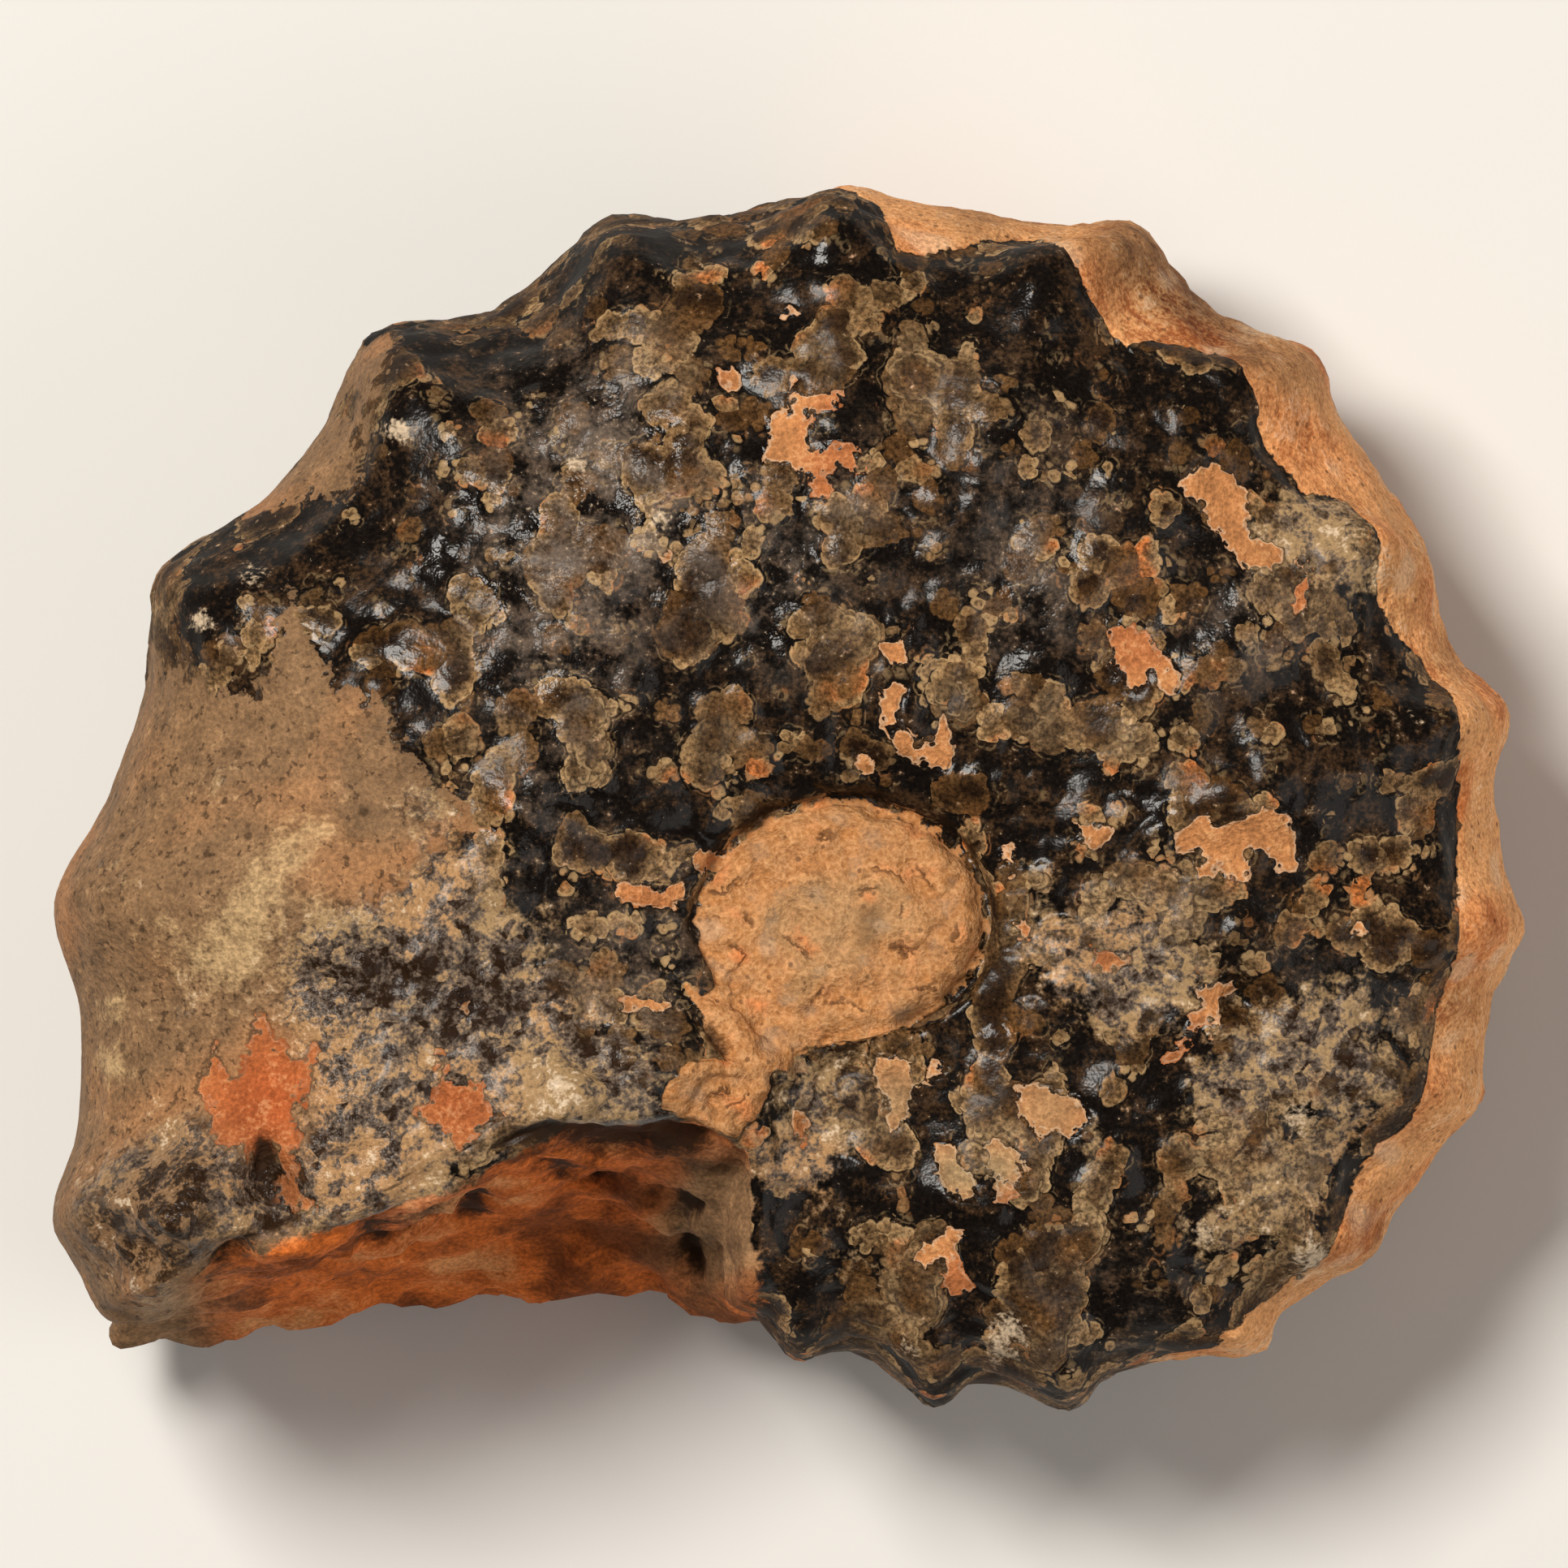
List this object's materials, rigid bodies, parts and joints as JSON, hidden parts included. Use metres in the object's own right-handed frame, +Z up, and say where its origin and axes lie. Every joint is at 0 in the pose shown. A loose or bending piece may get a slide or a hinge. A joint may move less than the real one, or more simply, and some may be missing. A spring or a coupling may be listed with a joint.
{
  "type": "ammonite fossil",
  "caption": "Stout ammonite fossil with coarse ribs, shoulder knobs, a matrix-filled umbilicus and a broken, matrix-filled mouth, lying on its flank.",
  "frame": {"origin": "middle of the outline in plan, at the level of the ground it lies on", "axes": "+Z up out of the near flank, +X the long way across the coil away from the broken mouth, +Y towards the rim opposite the mouth"},
  "size_m": [0.0624, 0.0518, 0.0292],
  "materials": {
    "petrified_shell": "dark glossy calcite with amber suture leaves, dull orange-tan matrix on the outer rim, in the umbilicus and in the mouth"
  },
  "bodies": {
    "root": {"ammonite": "petrified_shell"}
  },
  "joints": []
}
